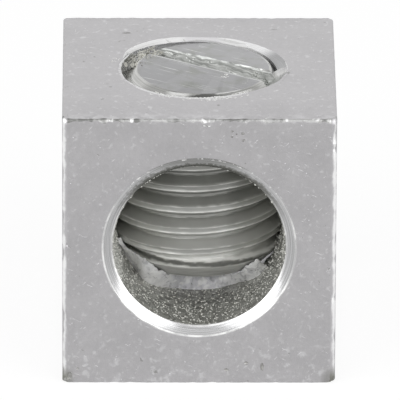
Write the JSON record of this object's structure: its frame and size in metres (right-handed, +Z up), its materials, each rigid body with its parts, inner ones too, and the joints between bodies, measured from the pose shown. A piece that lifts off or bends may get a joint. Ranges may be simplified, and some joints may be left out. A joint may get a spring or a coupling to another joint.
{
  "type": "mechanical lug",
  "caption": "Square plated aluminium block lug with a countersunk wire bore through it and a slotted set screw in its top that comes down into the bore to clamp the wire.",
  "frame": {"origin": "centre of the block's bottom face", "axes": "+Z up along the set screw's axis, +Y along the wire bore away from the face that is seen first, +X across the block's width"},
  "size_m": [0.018, 0.0176, 0.0188],
  "materials": {
    "plated_block": "matt tin plate with fine grain, tool marks and small nicks",
    "screw_metal": "dull plated steel with bright worn thread crests"
  },
  "bodies": {
    "block": {"lug_body": "plated_block"},
    "screw": {"set_screw": "screw_metal"}
  },
  "joints": [
    {"name": "screw_feed", "type": "slide", "parent": "block", "child": "screw", "axis": [0, 0, 1], "range_m": [0, 0.0105]}
  ]
}
